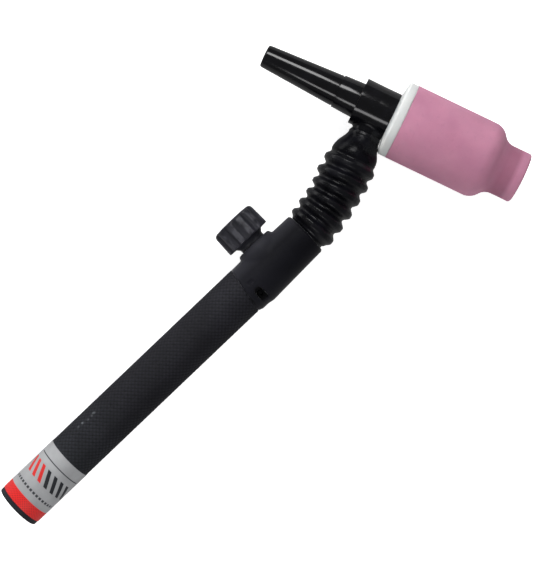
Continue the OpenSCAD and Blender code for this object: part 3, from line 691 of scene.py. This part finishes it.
def stem():
    """Moulded stem whose foot flares into the barrel's round back, fuller on the nozzle's side."""
    flare, full_r = 0.8, 5.94
    arc = [(STEM_R + flare * (1 - math.sin(a)), flare * (1 - math.cos(a)))
           for a in (math.pi / 2 * k / 8 for k in range(9))]
    bm = lathe([(4.1, -2.0), (arc[0][0], -2.0)] + arc + [
        (STEM_R, 3.5), (STEM_R, 6), (STEM_R, 11.1), (STEM_R - 0.3, 11.45), (4.1, 11.45)], 128)
    for v in bm.verts:
        height = math.sqrt(BARREL_R ** 2 - min(abs(v.co.x), BARREL_R - 0.4) ** 2)
        blend = min(1, max(0, (5.5 - v.co.z) / 4))
        if v.co.z < 3 and v.co.y > 0 and math.hypot(v.co.x, v.co.y) > 5:
            v.co.y = min(v.co.y * 1.18, full_r)
        v.co.z += BARREL_R + (height - BARREL_R) * blend
    return bm


piece("head_stem", stem(), "head", STEM_PHENOLIC, DOWN_STEM, ["head_jacket"])

ring = rounded([
    (4.75, 6.0), (8.7, 6.0), (13.2, 6.7, 0.5), (13.9, 7.3, 0.4), (13.97, 10.0, 0.1), (4.75, 10.0),
], 5)
piece("insulator_ring", lathe(ring, 160), "head", PTFE, IN_HEAD, ["insulator"])

cap = rounded([
    (0, -7.31), (6.5, -7.31, 0.04), (6.08, -15.2, 0.04), (5.6, -15.24), (5.6, -15.56), (5.8, -15.6, 0.04),
    (4.15, -44.3, 0.9), (1.1, -44.3, 0.15), (0.9, -44.1, 0.1), (0, -44.1),
], 6)
piece("back_cap_moulded", lathe(cap, 128, closed=False), "back_cap", PHENOLIC, IN_HEAD, ["back_cap"])


# ---- Nozzle ----
def cup():
    """Long straight cup, round shoulder, hollow and straight mouth, with its stepped bore."""
    shoulder_z = NOZZLE_BACK + 30.5
    big, hollow, mouth = 6.0, 5.0, 9.3
    reach = mouth + hollow - 14.0 + big
    hollow_z = shoulder_z + math.sqrt((big + hollow) ** 2 - reach ** 2)
    meet = math.atan2(hollow_z - shoulder_z, reach)
    points = [(11.45, NOZZLE_BACK + 0.3), (11.75, NOZZLE_BACK), (13.85, NOZZLE_BACK - 0.05),
              (13.96, NOZZLE_BACK), (14.0, NOZZLE_BACK + 0.12), (14.0, NOZZLE_BACK + 16)]
    for k in range(17):
        a = meet * k / 16
        points.append((14.0 - big + big * math.cos(a), shoulder_z + big * math.sin(a)))
    for k in range(1, 15):
        a = math.pi + meet * (1 - k / 14)
        points.append((mouth + hollow + hollow * math.cos(a), hollow_z + hollow * math.sin(a)))
    points += [(9.3, 53.0), (9.33, 54.5)]
    for k in range(7):
        a = math.pi / 2 * k / 6
        points.append((8.5 + 0.85 * math.cos(a), NOZZLE_FRONT - 0.85 + 0.85 * math.sin(a)))
    points += [(6.75, NOZZLE_FRONT), (6.43, NOZZLE_FRONT - 0.1), (6.35, NOZZLE_FRONT - 0.35), (6.35, 47.6),
               (8.2, 44.2), (11.0, 39.6), (11.0, 30.8), (11.45, 29.8)]
    return lathe(points, 160)


piece("nozzle_alumina", cup(), "nozzle", ALUMINA, IN_HEAD, ["nozzle"], sharp=40)


# ---- Gas lens screens: woven wire, drawn coarser than the real one so that it shows ----
def screens():
    pitch, wire, radius = 0.8, 0.13, 10.15
    curve = bpy.data.curves.new("screen_wire", "CURVE")
    curve.dimensions = "3D"
    curve.bevel_depth = wire * MM
    curve.bevel_resolution = 0
    curve.use_fill_caps = True
    count = int(radius / pitch)
    for level in range(3):
        z = SCREEN_Z + 0.25 + level * 0.8
        for way in range(2):
            for i in range(-count, count + 1):
                off = i * pitch
                reach = math.sqrt(radius ** 2 - off ** 2)
                steps = max(2, round(2 * reach / pitch * 2))
                spline = curve.splines.new("POLY")
                spline.points.add(steps)
                for k in range(steps + 1):
                    t = -reach + 2 * reach * k / steps
                    lift = wire * math.cos(math.pi * t / pitch) * (1 if (i + way) % 2 else -1)
                    p = (off, t, z + lift) if way else (t, off, z + lift)
                    spline.points[k].co = tuple(c * MM for c in p) + (1,)
    obj = bpy.data.objects.new("screen_wire", curve)
    bpy.context.scene.collection.objects.link(obj)
    graph = bpy.context.evaluated_depsgraph_get()
    mesh = bpy.data.meshes.new_from_object(obj.evaluated_get(graph))
    bpy.data.objects.remove(obj)
    bm = bmesh.new()
    bm.from_mesh(mesh)
    bmesh.ops.scale(bm, vec=(1 / MM, 1 / MM, 1 / MM), verts=bm.verts)
    bmesh.ops.remove_doubles(bm, verts=bm.verts, dist=1e-4)
    return bm


piece("gas_lens_mesh", screens(), "head", WIRE, IN_HEAD, ["gas_lens_screens"], sharp=0)

tip = rounded([(0, -31.4), (1.2, -31.4, 0.15), (1.2, 38.8, 0.4), (0.25, 44.8), (0, 44.8)], 4)
piece("electrode_ground", lathe(tip, 48, closed=False), "electrode", TUNGSTEN, IN_HEAD, ["electrode"])


# ---- Tail nipple with its cable thread ----
def threaded_tail():
    pitch, turns, major, minor = 1.06, 11, 4.76, 4.2
    bm = lathe(rounded([
        (1.6, 48), (3.9, 48), (minor, 48.4), (minor, 60), (3.6, 60.2), (3.6, 97.8), (5.4, 97.9, 0.2),
        (5.4, 103.8, 0.2), (4.0, 103.9), (4.0, 110.6), (1.6, 110.6),
    ], 3), 96)
    per_turn = 36
    a = bm.verts.new((minor - 0.05, 0, 48.3))
    b = bm.verts.new((major, 0, 48.3 + pitch * 0.46))
    c = bm.verts.new((major, 0, 48.3 + pitch * 0.54))
    d = bm.verts.new((minor - 0.05, 0, 48.3 + pitch))
    ridge = [bm.edges.new(pair) for pair in ((a, b), (b, c), (c, d), (d, a))]
    bmesh.ops.spin(bm, geom=[a, b, c, d] + ridge, cent=(0, 0, 0), axis=(0, 0, 1),
                   dvec=(0, 0, pitch / per_turn), angle=TAU * (turns - 0.6),
                   steps=round(per_turn * (turns - 0.6)), use_merge=False, use_duplicate=False)
    ends = [e for e in bm.edges if len(e.link_faces) == 1]
    bmesh.ops.holes_fill(bm, edges=ends, sides=4)
    return bm


piece("tail_nipple_threaded", threaded_tail(), "handle", BRASS, ALONG_HANDLE, ["tail_nipple"])

# ---- CAD nodes that stay, with their finishes ----
KEPT = {
    "handle_screw": BLACK_STEEL, "valve_block": BRASS, "gland_nut": BRASS, "neck_rear_ferrule": BRASS,
    "valve_o_ring": SEAL, "valve_stem": BRASS, "knob_screw": STEEL, "neck_front_ferrule": BRASS,
    "head_body": BRASS, "gas_lens_body": BRASS, "screen_ring": STEEL, "collet": COPPER,
    "back_cap_ferrule": BRASS, "back_cap_o_ring": SEAL,
}
for node_name, finish in KEPT.items():
    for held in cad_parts[node_name].material_slots:
        held.material = finish


# ---- Floor, light and camera ----
FLOOR_Z = -14.1  # just under the nozzle, the torch's widest piece
sheet = bmesh.new()
bmesh.ops.create_grid(sheet, x_segments=1, y_segments=1, size=4000)
piece("floor", sheet, None, white_paper(), Matrix.Translation((118, 0, FLOOR_Z)))

scene = bpy.context.scene
scene.view_settings.view_transform = "Standard"
world = bpy.data.worlds.new("studio")
scene.world = world
world.use_nodes = True
back = world.node_tree.nodes["Background"]
back.inputs["Color"].default_value = (1, 1, 1, 1)
back.inputs["Strength"].default_value = 0.15

# The view's right and up in the torch's frame
RIGHT = Vector((0.7239, -0.6899, 0))
UP = Vector((0.6899, 0.7239, 0))
AIM = Vector((0.1185, -0.00402, 0))


def lamp(name, right, up, high, wide, tall, watts, shines=True):
    """Soft box aimed at the torch from a place along the view's right, its up and towards the eye."""
    data = bpy.data.lights.new(name, "AREA")
    data.shape = "RECTANGLE"
    data.size, data.size_y = wide, tall
    data.energy = watts
    made = bpy.data.objects.new(name, data)
    spot = AIM + RIGHT * right + UP * up + Vector((0, 0, high))
    facing = (spot - AIM).normalized()
    side = (RIGHT - facing * RIGHT.dot(facing)).normalized()
    made.matrix_world = axes(side, facing.cross(side), facing, spot)
    made.visible_glossy = shines
    bpy.context.scene.collection.objects.link(made)


# A short strip above draws the bright line on the cap and one below the softer lower line. The rim
# box lights the upper edges; the low box, the fill and the overhead light only give shade.
lamp("upper_strip", -0.005, 0.58, 0.72, 0.46, 0.27, 3.6)
lamp("lower_strip", -0.235, -0.6, 0.66, 0.49, 0.2, 1.5)
lamp("rim_box", -0.62, 0.77, 0.16, 0.9, 0.26, 1.7)
lamp("low_box", -0.55, 0.72, 0.42, 0.8, 0.4, 4.1, shines=False)
lamp("fill", 0, -0.9, 0.3, 1.2, 0.5, 1.4, shines=False)
lamp("overhead", 0, 0.3, 1.5, 6, 5, 27, shines=False)

view = bpy.data.cameras.new("camera")
view.lens = 106.2
view.sensor_width = 36
view.clip_start = 0.01
view.clip_end = 20
eye = bpy.data.objects.new("camera", view)
eye.matrix_world = axes(RIGHT, UP, (0, 0, 1), AIM + Vector((0, 0, 0.6)))
bpy.context.scene.collection.objects.link(eye)
scene.camera = eye
